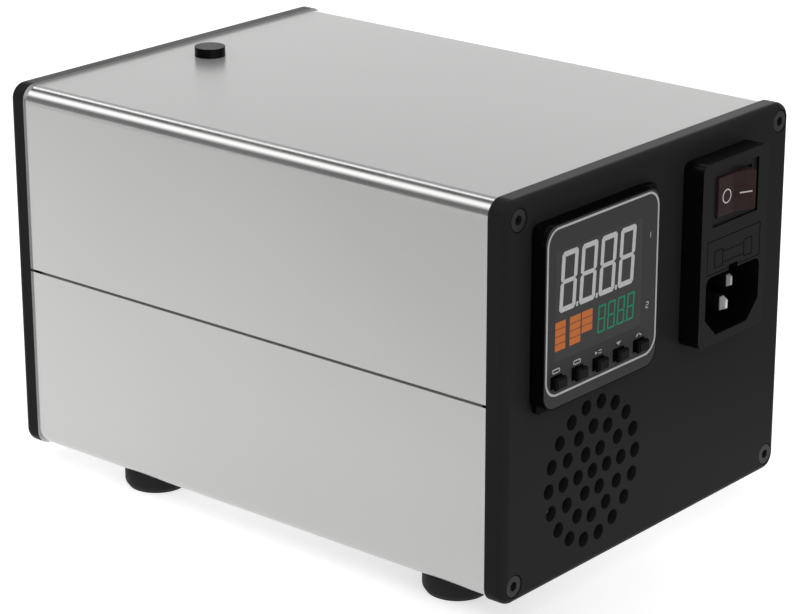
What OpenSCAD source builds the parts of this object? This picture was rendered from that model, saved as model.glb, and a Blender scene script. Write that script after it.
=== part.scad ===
// Bench reflow oven: black end plates on a split aluminium case, with a
// temperature controller, mains inlet and cooling fan at the front, and an
// insulated, quartz-heated chamber with a sliding board drawer at the rear.
// +Z is up, the control panel faces -Y, and the origin is the centre of the
// footprint at the level the feet stand on.

/* [Case] */
// Width of both end plates
case_w = 124; // [110:1:150]
// Height of both end plates
case_h = 107; // [100:1:130]
// Length over both end plates
case_l = 175.6; // [170:0.2:220]
// Thickness of the front end plate
plate_t = 6; // [5:0.5:8]
// Thickness of the rear end plate
rear_t = 5.6; // [5:0.1:8]
// Corner radius of the end plates
corner_r = 4.5; // [3:0.5:8]
// Edge radius around the outer face of each end plate
plate_round = 2.25; // [0.5:0.25:2.5]
// How far the shells sit inside the outline of the plates
shell_inset = 0.5; // [0.25:0.25:1]
// Side wall thickness of the shells
wall_t = 2; // [1.6:0.1:3]
// Floor and roof thickness of the shells
floor_t = 2.5; // [2:0.25:4]
// Height of the seam between the shells, over the bottom of the plates
seam_z = 53.4; // [45:0.1:60]
// Gap between the shells along the seam
seam_gap = 0.8; // [0.2:0.1:1.2]

/* [Feet] */
// Diameter of each rubber foot
foot_d = 18.5; // [12:0.5:24]
// Height of each rubber foot
foot_h = 6; // [4:0.5:10]

/* [Controller] */
// Width and height of the controller bezel
ctl_size = 48; // [48:1:49]
// How far the controller face stands off the panel
ctl_proud = 4.2; // [3:0.1:6]
// Depth of the controller case behind the panel face
ctl_depth = 54; // [45:1:56]
// How far the keys stand off the controller face
key_proud = 2.15; // [1:0.05:3]

/* [Mains inlet] */
// Width of the inlet bezel
inlet_w = 30.6; // [30:0.1:32]
// Height of the inlet bezel
inlet_h = 50.7; // [50:0.1:52]
// How far the inlet bezel stands off the panel
inlet_proud = 6.3; // [4:0.1:7]
// Angle that the rocker leans to either side
rocker_lean = 12; // [8:0.5:12.5]

/* [Vents] */
// Diameter of each vent hole
vent_d = 4.2; // [3:0.1:5]
// Distance between the rings of vent holes
vent_pitch = 6.2; // [5.8:0.1:6.4]

/* [Drawer] */
// Width of the drawer front
front_w = 92; // [90:1:96]
// Height of the drawer front
front_h = 52; // [50:1:60]
// Thickness of the drawer front
front_t = 7; // [6:0.5:10]
// Distance from the drawer front to the axis of the handle bar
handle_reach = 26; // [22:1:32]
// Diameter of the handle bar
handle_d = 9; // [8:0.5:12]

/* [Start button] */
// Diameter of the start button
button_d = 8.8; // [8:0.1:9]
// How far the start button stands off the roof
button_proud = 2.7; // [1.8:0.1:3]

/* [Hidden] */
$fn = 48;
e = 0.01;
rk_x = 27.3; rk_y = -1.15; rk_z = 90.6;    // rocker pivot
rk_end = 6.75;                             // rocker's raised ends, from the pivot both ways
rocker_reach = rk_end*(sin(rocker_lean) + cos(rocker_lean)) - rk_y; // front-most point, off the panel
rear_reach = case_l + 1 + front_t + handle_reach + handle_d/2;
y_panel = (rocker_reach - rear_reach)/2;   // panel face, along Y
ctl_x = -28.15; ctl_z = 75.5;
inl_x = 27.5;   inl_z = 75.35;
vent_x = -24.9; vent_z = 26.4;
screw_x = 57.3; screw_lo = 4.95; screw_hi = case_h - 4.95;
y1 = plate_t;                              // front ends of the shells
y2 = case_l - rear_t;                      // rear ends of the shells
hx = case_w/2;
sx = hx - shell_inset;                     // outer side faces of the shells
zb = shell_inset; zt = case_h - shell_inset;
seam_lo = seam_z - seam_gap/2; seam_hi = seam_z + seam_gap/2;
foot_x = 48.7; foot_y = [25.4, 135.2];
key_x = [for (i = [0:4]) ctl_x - 18.6 + i*8.7];
key_z = 58.4;
cut = 44.6;                                // controller case, outer
roof = zt;
button_x = -2.4; button_y = 155.5;
dz = 52;                                   // mid-height of the chamber and drawer
yf = case_l + 1;                           // inner face of the drawer front
relay_y = [12, 62];
heat_x = 22; heat_lo = 28; heat_hi = 76;

black = [0.09, 0.09, 0.095]; alu = [0.78, 0.78, 0.77]; steel = [0.7, 0.71, 0.72];
rubber = [0.05, 0.05, 0.05]; dark = [0.2, 0.2, 0.21]; white = [0.9, 0.89, 0.86];

module at_panel() translate([0, y_panel, foot_h]) children();
module ybox(x0, x1, y0, y1, z0, z1) translate([x0, y0, z0]) cube([x1 - x0, y1 - y0, z1 - z0]);
// extrude an (x, z) outline from y0 to y1
module yext(y0, y1) translate([0, y1, 0]) rotate([90, 0, 0]) linear_extrude(y1 - y0) children();
module ycyl(x, z, y0, y1, d, n = 32) translate([x, y0, z]) rotate([-90, 0, 0]) cylinder(d = d, h = y1 - y0, $fn = n);
module ycone(x, z, y0, y1, d0, d1, n = 32) translate([x, y0, z]) rotate([-90, 0, 0]) cylinder(d1 = d0, d2 = d1, h = y1 - y0, $fn = n);
module zcyl(x, y, z0, z1, d, n = 32) translate([x, y, z0]) cylinder(d = d, h = z1 - z0, $fn = n);
module rrect(w, h, r) {
  square([w - 2*r, h], center = true);
  square([w, h - 2*r], center = true);
  for (i = [-1, 1], j = [-1, 1]) translate([i*(w/2 - r), j*(h/2 - r)]) circle(r, $fn = 32);
}
module hexy(x, z, y0, y1, af) translate([x, y0, z]) rotate([-90, 0, 0]) cylinder(d = af/cos(30), h = y1 - y0, $fn = 6);
module hexz(x, y, z0, z1, af) translate([x, y, z0]) cylinder(d = af/cos(30), h = z1 - z0, $fn = 6);

// ---- end plates ----
// section of a plate of width w: front edges rounded by f
module plate_section(w, t, f) {
  translate([-w/2 + f, 0]) square([w - 2*f, t]);
  translate([-w/2, f]) square([w, t - f]);
  for (i = [-1, 1]) translate([i*(w/2 - f), f]) circle(f, $fn = 48);
}
module end_plate(w, h, t, r, f) {
  translate([0, 0, r]) linear_extrude(h - 2*r) plate_section(w, t, f);
  translate([-(w/2 - r), 0, h/2]) rotate([90, 0, 90]) linear_extrude(w - 2*r)
    rotate([0, 0, -90]) plate_section(h, t, f);
  for (i = [-1, 1], z = [r, h - r]) translate([i*(w/2 - r), 0, z]) rotate([-90, 0, 0]) rotate_extrude() union() {
    square([r - f, t]);
    translate([0, f]) square([r, t - f]);
    translate([r - f, f]) intersection() { circle(f, $fn = 48); translate([0, -f - 1]) square([f + 1, f + 1.01]); }
  }
}
module plate_screw_holes() for (x = [-screw_x, screw_x], z = [screw_lo, screw_hi]) {
  ycyl(x, z, -1, plate_t + 1, 3.2);
  ycyl(x, z, -1, 0.45, 6.4);
  ycone(x, z, 0.44, 2.05, 5.95, 3.2);
}
module front_plate() color(black) at_panel() difference() {
  end_plate(case_w, case_h, plate_t, corner_r, plate_round);
  plate_screw_holes();
  ybox(ctl_x - 22.6, ctl_x + 22.6, -1, plate_t + 1, ctl_z - 22.6, ctl_z + 22.6);
  ybox(inl_x - 13.8, inl_x + 13.8, -1, plate_t + 1, inl_z - 23.9, inl_z + 23.9);
  ybox(vent_x - 20.3, vent_x + 20.3, 2.5, plate_t + 1, vent_z - 20.3, vent_z + 20.3);
  for (i = [-16, 16], j = [-16, 16]) ycyl(vent_x + i, vent_z + j, 1, 5, 3, 24);
  ycyl(vent_x, vent_z, -1, plate_t, vent_d);
  for (k = [1:3], i = [0:6*k - 1])
    ycyl(vent_x + vent_pitch*k*cos(60*i/k), vent_z + vent_pitch*k*sin(60*i/k), -1, plate_t, vent_d);
}
module rear_plate() color(black) at_panel() difference() {
  translate([0, case_l, 0]) mirror([0, 1, 0]) difference() {
    end_plate(case_w, case_h, rear_t, corner_r, plate_round);
    plate_screw_holes();
  }
  translate([0, 0, dz]) yext(y2 - 1, case_l + 1) rrect(80, 40, 2);
}
module plate_screw() difference() {
  union() {
    ycyl(0, 0, 0.2, 0.5, 5.7);
    ycone(0, 0, 0.5, 2.0, 5.7, 3.0);
    ycyl(0, 0, 1.9, 14, 2.9);
  }
  rotate([0, 30, 0]) hexy(0, 0, 0, 1.7, 2.4);
}
module plate_screws() color(dark) at_panel() for (x = [-screw_x, screw_x], z = [screw_lo, screw_hi]) {
  translate([x, 0, z]) plate_screw();
  translate([x, case_l, z]) mirror([0, 1, 0]) plate_screw();
}

// ---- split shell ----
module shell_walls() difference() {
  union() {
    difference() {
      translate([0, (zb + zt)/2]) rrect(2*sx, zt - zb, corner_r);
      translate([0, (zb + zt)/2]) rrect(2*(sx - wall_t), zt - zb - 2*floor_t, 2);
    }
    for (x = [-screw_x, screw_x], z = [screw_lo, screw_hi]) translate([x, z]) circle(3.6, $fn = 32);
  }
  for (x = [-screw_x, screw_x], z = [screw_lo, screw_hi]) translate([x, z]) circle(1.5, $fn = 32);
}
module upper_shell() color(alu) at_panel() difference() {
  yext(y1, y2) difference() {
    intersection() { shell_walls(); translate([-hx, seam_hi]) square([2*hx, case_h]); }
    translate([-(sx - 0.9), 0]) square([2*(sx - 0.9), seam_hi + 2.4]);
  }
  zcyl(button_x, button_y, roof - 6, roof + 5, button_d + 0.2);
}
module lower_shell() color(alu) at_panel() difference() {
  union() {
    yext(y1, y2) intersection() { shell_walls(); translate([-hx, -1]) square([2*hx, seam_lo + 1]); }
    for (s = [-1, 1]) ybox(s > 0 ? sx - wall_t : -(sx - 1.0), s > 0 ? sx - 1.0 : -(sx - wall_t),
      y1 + 2.2, y2 - 4.3, seam_lo - 1, seam_hi + 2.2);
  }
  for (s = [-1, 1], y = foot_y) zcyl(s*foot_x, y, -1, 6, 3);
  for (i = [0:5]) ybox(-44 + 6*i, -41 + 6*i, 40, 66, -1, 4);
  for (y = relay_y) zcyl(30, y, -1, 6, 3);
  zcyl(-12, 30, -1, 6, 4);
}

// ---- feet ----
module foot() difference() {
  union() {
    rotate_extrude() union() {
      translate([0, 0]) square([foot_d/2 - 2.1, foot_h]);
      translate([0, 2.1]) square([foot_d/2, foot_h - 2.1]);
      translate([foot_d/2 - 2.1, 2.1]) intersection() { circle(2.1, $fn = 32); translate([0, -3]) square([3, 3.01]); }
    }
    zcyl(0, 0, 0, foot_h + shell_inset, foot_d - 2);
  }
  zcyl(0, 0, -1, foot_h + 2, 3.2);
  zcyl(0, 0, -1, 3, 7);
}
module foot_at(s, y) translate([s*foot_x, y_panel + y, 0]) foot();
module front_left_foot() color(rubber) foot_at(-1, foot_y[0]);
module front_right_foot() color(rubber) foot_at(1, foot_y[0]);
module rear_left_foot() color(rubber) foot_at(-1, foot_y[1]);
module rear_right_foot() color(rubber) foot_at(1, foot_y[1]);
module foot_screws() color(steel) for (s = [-1, 1], y = foot_y) translate([s*foot_x, y_panel + y, 0]) difference() {
  union() {
    zcyl(0, 0, 1.2, 3, 5.6);
    zcyl(0, 0, 2.9, foot_h + shell_inset + floor_t, 2.9);
  }
  hexz(0, 0, 1, 2.4, 2.5);
}

// ---- controller ----
module controller_case() color(black) at_panel() translate([ctl_x, 0, ctl_z]) difference() {
  union() {
    yext(-1, 0) rrect(ctl_size, ctl_size, 3.2);
    translate([0.25, 0, -0.35]) yext(-2.4, -1) rrect(ctl_size + 1, ctl_size + 1.2, 1.1);
    translate([0.1, 0, -0.2]) yext(-ctl_proud + 0.05, -2.4) rrect(ctl_size, ctl_size + 0.3, 4.4);
    yext(-0.5, ctl_depth) square(cut, center = true);
  }
  translate([0.05, 0, -0.15]) yext(-ctl_proud - 1, -3.4) rrect(47.3, 47.7, 4.15);
  yext(-4, ctl_depth - 1.5) square(cut - 2, center = true);
  ybox(-16, 16, ctl_depth - 2, ctl_depth + 1, -15, 15);
}
module controller_face() color(dark) at_panel() difference() {
  translate([ctl_x + 0.05, 0, ctl_z - 0.15]) yext(-ctl_proud, -3.4) rrect(47.28, 47.68, 4.15);
  for (x = key_x) ybox(x - 2.45, x + 2.45, -ctl_proud - 1, 0, key_z - 1.75, key_z + 1.7);
}
module key_at(i) at_panel() translate([key_x[i], 0, key_z]) {
  kf = -ctl_proud - key_proud;
  ybox(-2.1, 2.1, -5.2, -1.1, -1.3, 1.35);
  ybox(-2.15, 2.15, -3.3, -2.3, -2.4, 2.4);
  intersection() {
    translate([0, 0, -3]) linear_extrude(6)
      polygon([[-1.8, kf], [1.8, kf], [2.2, kf + 0.6], [2.2, -5.1], [-2.2, -5.1], [-2.2, kf + 0.6]]);
    translate([-3, 0, 0]) rotate([90, 0, 90]) linear_extrude(6)
      polygon([[kf, -1.2], [kf, 1.1], [kf + 0.6, 1.45], [-5.1, 1.45], [-5.1, -1.6], [kf + 0.6, -1.6]]);
  }
}
module menu_key() color(black) key_at(0);
module shift_key() color(black) key_at(1);
module run_key() color(black) key_at(2);
module down_key() color(black) key_at(3);
module up_key() color(black) key_at(4);
module display_board() color([0.05, 0.3, 0.15]) at_panel() {
  ybox(ctl_x - 21, ctl_x + 21, 1.0, 2.6, ctl_z - 21, ctl_z + 21);
  ybox(ctl_x - 19.8, ctl_x + 16.2, -3.3, 1.0, 64.6, 94.2);
  for (x = key_x) difference() {
    ybox(x - 1.9, x + 1.9, -0.3, 1.0, key_z - 1.9, key_z + 1.9);
    ycyl(x, key_z, -1, 0.4, 1.6, 16);
  }
}
module control_board() color([0.05, 0.3, 0.15]) at_panel() {
  ybox(ctl_x - 12, ctl_x - 10.4, 2.6, ctl_depth - 4, ctl_z - 19, ctl_z + 19);
  ybox(ctl_x - 10.4, ctl_x + 6, 12, 30, ctl_z - 9, ctl_z + 9);
  ybox(ctl_x - 10.4, ctl_x, 34, 48, ctl_z + 2, ctl_z + 14);
  ycyl(ctl_x - 3, ctl_z - 14, 34, 48, 9);
}
module controller_terminals() color(dark) at_panel() translate([ctl_x, 0, ctl_z]) difference() {
  union() {
    ybox(-20, 20, ctl_depth, ctl_depth + 6, -18.5, 18.5);
    ybox(-15.8, 15.8, ctl_depth - 4, ctl_depth, -14.8, 14.8);
  }
  for (i = [0:5], s = [-1, 1]) ycyl(s*14, -15 + 6*i, ctl_depth + 2, ctl_depth + 7, 4.2, 24);
}
module controller_clamp() color(dark) at_panel() translate([ctl_x, 0, ctl_z]) difference() {
  union() {
    yext(10, 16) rrect(51, 51, 3);
    for (s = [-1, 1]) ybox(-5, 5, 10, 16, s > 0 ? 22 : -27.5, s > 0 ? 27.5 : -22);
  }
  yext(9, 17) square(cut + 0.2, center = true);
  for (s = [-1, 1]) ycyl(0, s*25, 9, 17, 3.0);
}
module clamp_screws() color(steel) at_panel() for (s = [-1, 1]) translate([ctl_x, 0, ctl_z + s*25]) {
  difference() { ycyl(0, 0, 20, 22, 5.5); ybox(-3, 3, 21.2, 23, -0.4, 0.4); }
  ycyl(0, 0, plate_t, 20.1, 2.9);
}

// ---- mains inlet ----
module socket_outline(w, h, c) {
  polygon([[-w/2, -h/2 + c], [-w/2 + c, -h/2], [w/2 - c, -h/2], [w/2, -h/2 + c],
    [w/2, h/2 - 2.1], [-w/2, h/2 - 2.1]]);
  translate([-w/2 + 2.1, h/2 - 3]) square([w - 4.2, 3]);
  for (s = [-1, 1]) translate([s*(w/2 - 2.1), h/2 - 2.1]) circle(2.1, $fn = 32);
}
module inlet_housing() color(black) at_panel() difference() {
  union() {
    translate([inl_x, 0, inl_z]) yext(-inlet_proud, 0) rrect(inlet_w, inlet_h, 2.4);
    ybox(inl_x - 13.5, inl_x + 13.5, -0.5, 30, inl_z - 23.6, inl_z + 23.6);
    for (s = [-1, 1]) translate([inl_x, 0, inl_z - 5]) linear_extrude(10)
      polygon([[s*13.4, plate_t + 0.1], [s*15, plate_t + 0.1], [s*13.4, plate_t + 8]]);
  }
  translate([inl_x, 0, 61]) yext(-10, 14) socket_outline(25, 16.8, 5.2);
  // drawer slot and its pull notch
  ybox(inl_x - 12.4, inl_x + 12.4, -10, 16, 70.0, 79.4);
  ybox(inl_x - 2, inl_x + 2, -10, -3, 68, 70.5);
  // rocker window and the space behind it
  ybox(inl_x - 10.5, inl_x + 10.5, -10, -inlet_proud + 0.7, 83, 98);
  ybox(rk_x - 8.3, rk_x + 8.3, -10, 14, rk_z - 5.65, rk_z + 5.65);
  zcyl(rk_x, rk_y, 82.0, 98.4, 2.04);
  // pin slots
  for (s = [-1, 1]) ybox(inl_x + s*7 - 1.03, inl_x + s*7 + 1.03, 13, 31, 60.8, 64.9);
  ybox(inl_x - 1.03, inl_x + 1.03, 13, 31, 56.8, 60.9);
}
module blade(x, z, tip) {
  intersection() {
    translate([x - 1, 0, z]) rotate([90, 0, 90]) linear_extrude(2)
      polygon([[tip, -1.2], [tip + 2, -2], [30, -2], [30, 2], [tip + 2, 2], [tip, 1.2]]);
    translate([x, 0, z - 3]) linear_extrude(6)
      polygon([[-0.45, tip], [0.45, tip], [1, tip + 2], [1, 31], [-1, 31], [-1, tip + 2]]);
  }
  ybox(x - 0.4, x + 0.4, 29.5, 38, z - 2, z + 2);
}
module power_pins() color(steel) at_panel() { blade(inl_x - 7, 62.85, -1.3); blade(inl_x + 7, 62.85, -1.3); }
module earth_pin() color(steel) at_panel() blade(inl_x, 58.85, -4.65);
module fuse_drawer() color(black) at_panel() difference() {
  union() {
    ybox(inl_x - 12.2, inl_x + 12.2, -inlet_proud, 0, 70.2, 79.2);
    ybox(inl_x - 11.8, inl_x + 11.8, -0.5, 15, 70.6, 78.8);
  }
  ybox(inl_x - 2, inl_x + 2, -10, -4.6, 70, 70.8);
  // cradle for the fuse
  ybox(inl_x - 10.4, inl_x + 10.4, 5, 12, 72.5, 80);
  // moulded fuse mark
  for (s = [-1, 1]) difference() {
    ybox(inl_x - 0.2 + s*6.8 - 1.95, inl_x - 0.2 + s*6.8 + 1.95, -7, -inlet_proud + 0.25, 71.5, 76.3);
    ybox(inl_x - 0.2 + s*6.8 - 1.75, inl_x - 0.2 + s*6.8 + 1.75, -8, 0, 71.7, 76.1);
  }
  difference() {
    ybox(inl_x - 5.1, inl_x + 4.7, -7, -inlet_proud + 0.25, 72.2, 75.4);
    ybox(inl_x - 6, inl_x + 5.5, -8, 0, 72.4, 75.2);
  }
}
module xcyl(x0, x1, y, z, d, n = 32) translate([x0, y, z]) rotate([0, 90, 0]) cylinder(d = d, h = x1 - x0, $fn = n);
module fuse() color(steel) at_panel() {
  xcyl(inl_x - 10, inl_x - 5, 8.5, 75.1, 5.2);
  xcyl(inl_x + 5, inl_x + 10, 8.5, 75.1, 5.2);
  xcyl(inl_x - 5, inl_x + 5, 8.5, 75.1, 4.8);
}
module power_rocker() color([0.3, 0.02, 0.02]) at_panel() translate([rk_x, rk_y, rk_z]) rotate([0, 0, -rocker_lean]) difference() {
  intersection() {
    translate([0, 0, -10]) linear_extrude(20)
      polygon([[-rk_end, -rk_end], [0, -5.315], [rk_end, -rk_end], [7.3, -4.2], [6.2, 2.2], [2.4, 2.8], [2.4, 7], [-2.4, 7], [-2.4, 2.8], [-6.2, 2.2], [-7.3, -4.2]]);
    translate([-15, 0, 0]) rotate([90, 0, 90]) linear_extrude(30)
      polygon([[-7, -5.25], [-4.4, -5.45], [8, -5.45], [8, 5.45], [-4.4, 5.45], [-7, 5.25]]);
  }
  translate([0, 0, -12]) cylinder(d = 2.1, h = 24, $fn = 32);
}
module rocker_pin() color(steel) at_panel() zcyl(rk_x, rk_y, 82.1, 98.3, 2.0);

// ---- fan ----
module fan_frame() color(black) at_panel() translate([vent_x, 0, vent_z]) difference() {
  union() {
    difference() {
      yext(2.5, 12.5) rrect(40, 40, 3);
      ycyl(0, 0, 1, 14, 38, 64);
    }
    ycyl(0, 0, 11.3, 12.5, 17);
    for (a = [20, 110, 200, 290]) rotate([0, a, 0]) ybox(7, 19.4, 11.3, 12.5, -1, 1);
  }
  for (i = [-1, 1], j = [-1, 1]) ycyl(16*i, 16*j, 1, 14, 3.3, 24);
  ycyl(0, 0, 11, 13, 2.0);
}
module fan_rotor() color(dark) at_panel() translate([vent_x, 0, vent_z]) difference() {
  union() {
    ycyl(0, 0, 3.3, 10.8, 17, 40);
    intersection() {
      ycyl(0, 0, 3.3, 10.8, 36.6, 64);
      union() for (i = [0:6]) rotate([0, i*360/7, 0]) translate([13.5, 7.05, 0]) rotate([38, 0, 0])
        translate([-6.5, -0.6, -5.6]) cube([13, 1.2, 11.2]);
    }
  }
  ycyl(0, 0, 2, 12, 2.1);
}
module fan_shaft() color(steel) at_panel() ycyl(vent_x, vent_z, 3.3, 12.5, 2.0);
module fan_screws() color(steel) at_panel() for (i = [-1, 1], j = [-1, 1]) translate([vent_x + 16*i, 0, vent_z + 16*j]) difference() {
  union() { ycyl(0, 0, 1.1, 12.6, 2.9, 24); ycyl(0, 0, 12.5, 14.5, 5.5, 24); }
  ybox(-3, 3, 13.7, 15, -0.4, 0.4);
}

// ---- electronics bay ----
module bulkhead() color(steel) at_panel() difference() {
  union() {
    ybox(-52, 52, 76, 77, 3, 103.6);
    ybox(-58.8, 58.8, 76, 77, 9.5, 97.5);
    ybox(-50, -4, 70, 77, 3, 4);
  }
  for (x = [-heat_x, heat_x], z = [heat_lo, heat_hi]) ycyl(x, z, 70, 80, 8.6);
  ycyl(0, 60, 70, 80, 3.4);
}
module relay_base() color(alu) at_panel() difference() {
  ybox(8, 52, 7, 67, 3, 6);
  for (y = relay_y) zcyl(30, y, 2, 8, 3.4);
}
module solid_state_relay() color(dark) at_panel() difference() {
  ybox(8.5, 51.5, 7.5, 66.5, 6, 25);
  for (y = relay_y) zcyl(30, y, 5, 30, 9.8);
  for (y = relay_y, x = [16, 44]) ybox(x - 5, x + 5, y - 4.6, y + 4.6, 17, 30);
}
module relay_screws() color(steel) at_panel() {
  for (y = relay_y) difference() {
    union() { zcyl(30, y, 0.6, 6.1, 2.9); zcyl(30, y, 6, 8.2, 5.6); }
    hexz(30, y, 7, 9, 2.5);
  }
  for (y = relay_y, x = [16, 44]) difference() {
    zcyl(x, y, 17, 19.6, 8);
    ybox(x - 5, x + 5, y - 0.5, y + 0.5, 18.8, 20);
  }
}
module terminal_strip() color(white) at_panel() difference() {
  ybox(-22, 6, 64, 76, 8, 20);
  for (i = [0:2]) {
    zcyl(-17.3 + 9.3*i, 67.5, 14, 21, 4.2, 24);
    zcyl(-17.3 + 9.3*i, 72.5, 14, 21, 4.2, 24);
  }
}
module ground_stud() color([0.75, 0.6, 0.3]) at_panel() {
  zcyl(-12, 30, 0.6, 16, 3.9);
  zcyl(-12, 30, 3, 4, 9);
  hexz(-12, 30, 4, 7, 7);
  zcyl(-12, 30, 7, 7.8, 9);
  hexz(-12, 30, 7.8, 10.8, 7);
}

// ---- oven ----
module oven_liner() color(steel) at_panel() difference() {
  union() {
    ybox(-43, 43, 84, y2, 20, 84);
    ybox(-48, 48, y2 - 1.2, y2, 15, 89);
  }
  ybox(-41.8, 41.8, 85.2, y2 + 1, 21.2, 82.8);
  for (x = [-heat_x, heat_x], z = [heat_lo, heat_hi]) ycyl(x, z, 80, 90, 8.4);
  ycyl(0, 60, 80, 90, 3.3);
}
module insulation_wrap() color(white) at_panel() difference() {
  union() {
    ybox(-52.5, 52.5, 77, y2 - 1.2, 3, 92);
    ybox(-58.8, 58.8, 77, y2 - 1.2, 9.5, 92);
  }
  ybox(-43, 43, 70, y2, 20, 84);
}
module insulation_board() color(white) at_panel() difference() {
  ybox(-43, 43, 77, 84, 20, 84);
  for (x = [-heat_x, heat_x], z = [heat_lo, heat_hi]) ycyl(x, z, 70, 90, 8.6);
  ycyl(0, 60, 70, 90, 3.4);
}
module heater(x, z) {
  ycyl(x, z, 73.5, 160, 8);
  ycyl(x, z, 67.5, 76, 11);
  ycyl(x, z, 159.4, 163, 10);
}
module upper_heaters() color([0.85, 0.8, 0.7]) at_panel() for (x = [-heat_x, heat_x]) heater(x, heat_hi);
module lower_heaters() color([0.85, 0.8, 0.7]) at_panel() for (x = [-heat_x, heat_x]) heater(x, heat_lo);
module heater_brackets() color(steel) at_panel() {
  difference() {
    union() { ybox(-30, 30, 158, 159.2, 70.6, 82.8); ybox(-30, 30, 148, 159.2, 81.6, 82.8); }
    for (x = [-heat_x, heat_x]) ycyl(x, heat_hi, 150, 165, 8.4);
  }
  difference() {
    union() { ybox(-30, 30, 158, 159.2, 21.2, 33.4); ybox(-30, 30, 148, 159.2, 21.2, 22.4); }
    for (x = [-heat_x, heat_x]) ycyl(x, heat_lo, 150, 165, 8.4);
  }
}
module thermocouple() color(steel) at_panel() {
  ycyl(0, 60, 68, 98, 3);
  hexy(0, 60, 70, 76, 8);
}
module rail(s) translate([0, 0, 0]) mirror([s > 0 ? 0 : 1, 0, 0]) {
  ybox(39.6, 41.8, 85.4, 168.5, 47.6, 54);
  ybox(33, 41.8, 85.4, 163.6, 47.6, 48.8);
}
module left_rail() color(steel) at_panel() rail(-1);
module right_rail() color(steel) at_panel() rail(1);

// ---- drawer ----
module drawer_front() color(black) at_panel() difference() {
  translate([0, 0, dz]) union() {
    yext(yf, yf + front_t) rrect(front_w - 1.6, front_h - 1.6, 3);
    yext(yf, yf + front_t - 1) rrect(front_w, front_h, 3.8);
  }
  for (x = [-28, 28]) ycyl(x, 56, yf - 1, yf + 5, 3);
  for (x = [-20, 20]) { ycyl(x, dz, yf - 1, yf + front_t + 1, 3.4); ycyl(x, dz, yf - 1, yf + 2, 6.4); }
}
module drawer_plug() color(white) at_panel() difference() {
  translate([0, 0, dz]) yext(164, yf) rrect(78.6, 38.6, 2);
  for (x = [-28, 28]) ycyl(x, 56, 160, yf + 1, 3.4);
}
module board_tray() color(steel) at_panel() difference() {
  union() {
    ybox(-39, 39, 89, 164, 49.2, 50.4);
    for (s = [-1, 1]) ybox(s > 0 ? 37.8 : -39, s > 0 ? 39 : -37.8, 89, 164, 49.2, 53.4);
    ybox(-39, 39, 89, 90.2, 49.2, 53.4);
    ybox(-39, 39, 162.8, 164, 49.2, 60);
  }
  for (i = [0:5], j = [0:1]) ybox(-33 + 34*j, -1 + 34*j, 97 + 11*i, 102 + 11*i, 48, 51);
  for (x = [-28, 28]) ycyl(x, 56, 160, 170, 3.4);
}
module tray_screws() color(steel) at_panel() for (x = [-28, 28]) difference() {
  union() { ycyl(x, 56, 160.8, 162.8, 5.5); ycyl(x, 56, 162.7, yf + 5, 2.9); }
  hexy(x, 56, 160, 161.9, 2.5);
}
module handle_posts() color(steel) at_panel() for (x = [-20, 20]) difference() {
  ycyl(x, dz, yf + front_t, yf + front_t + handle_reach, 8);
  ycyl(x, dz, yf + front_t - 1, yf + front_t + 12, 3.0);
  xcyl(x - 6, x + 6, yf + front_t + handle_reach, dz, handle_d + 0.02);
}
module handle_bar() color(alu) at_panel() difference() {
  union() {
    xcyl(-26, 26, yf + front_t + handle_reach, dz, handle_d);
    for (s = [-1, 1]) translate([s*26, 0, 0]) xcyl(-1, 1, yf + front_t + handle_reach, dz, handle_d - 1.4);
  }
}
module handle_screws() color(steel) at_panel() for (x = [-20, 20]) {
  ycyl(x, dz, yf + 0.1, yf + 2, 5.6);
  ycyl(x, dz, yf + 1.9, yf + front_t + 10, 2.9);
}
module drawer_gasket() color([0.35, 0.33, 0.3]) at_panel() translate([0, 0, dz]) yext(case_l, yf - 0.1) difference() {
  rrect(front_w - 1, front_h - 1, 4);
  rrect(82, 42, 3);
}

// ---- start button ----
module start_button() color(black) at_panel() difference() {
  union() {
    zcyl(button_x, button_y, roof - 3.6, roof + button_proud, button_d, 40);
    zcyl(button_x, button_y, roof - 3.6, roof - 2.6, 10.6, 40);
  }
  zcyl(button_x, button_y, roof - 5, roof - 1.8, 3.6, 24);
}
module button_switch() color(dark) at_panel() difference() {
  union() {
    difference() {
      zcyl(button_x, button_y, 96, roof - floor_t, 15.8, 40);
      zcyl(button_x, button_y, 97.6, roof, 11.4, 40);
    }
    zcyl(button_x, button_y, 97, roof - 3.4, 3, 24);
    ybox(button_x - 2.5, button_x + 2.5, button_y - 2.5, button_y + 2.5, 97, 100.4);
  }
}

// ---- wires ----
function unit(v) = v/max(norm(v), 1e-9);
function chaikin(p, n) = n == 0 ? p : chaikin(concat([p[0]],
  [for (i = [0:len(p) - 2]) each [p[i]*0.75 + p[i + 1]*0.25, p[i]*0.25 + p[i + 1]*0.75]], [p[len(p) - 1]]), n - 1);
function tang(p, i) = i == 0 ? unit(p[1] - p[0]) : i == len(p) - 1 ? unit(p[i] - p[i - 1]) : unit(unit(p[i + 1] - p[i]) + unit(p[i] - p[i - 1]));
function frames(p, i, u) = i == len(p) ? [] : let (t = tang(p, i), v = unit(u - t*(u*t))) concat([[v, cross(t, v)]], frames(p, i + 1, v));
module sweep(route, d, n = 8) {
  p = chaikin(route, 2);
  f = frames(p, 0, abs(tang(p, 0).x) < 0.8 ? [1, 0, 0] : [0, 0, 1]);
  polyhedron(points = [for (i = [0:len(p) - 1], k = [0:n - 1]) p[i] + d/2*(cos(360*k/n)*f[i][0] + sin(360*k/n)*f[i][1])],
    faces = concat([[for (k = [0:n - 1]) k]], [[for (k = [n - 1:-1:0]) (len(p) - 1)*n + k]],
      [for (i = [0:len(p) - 2], k = [0:n - 1]) [i*n + k, (i + 1)*n + k, (i + 1)*n + (k + 1)%n, i*n + (k + 1)%n]]), convexity = 6);
}
live_route = [[20.5, 38, 62.85], [20.5, 44, 62.85], [19, 50, 58], [16, 54, 46], [16, 60, 34], [16, 62, 28], [16, 62, 19.6]];
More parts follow.
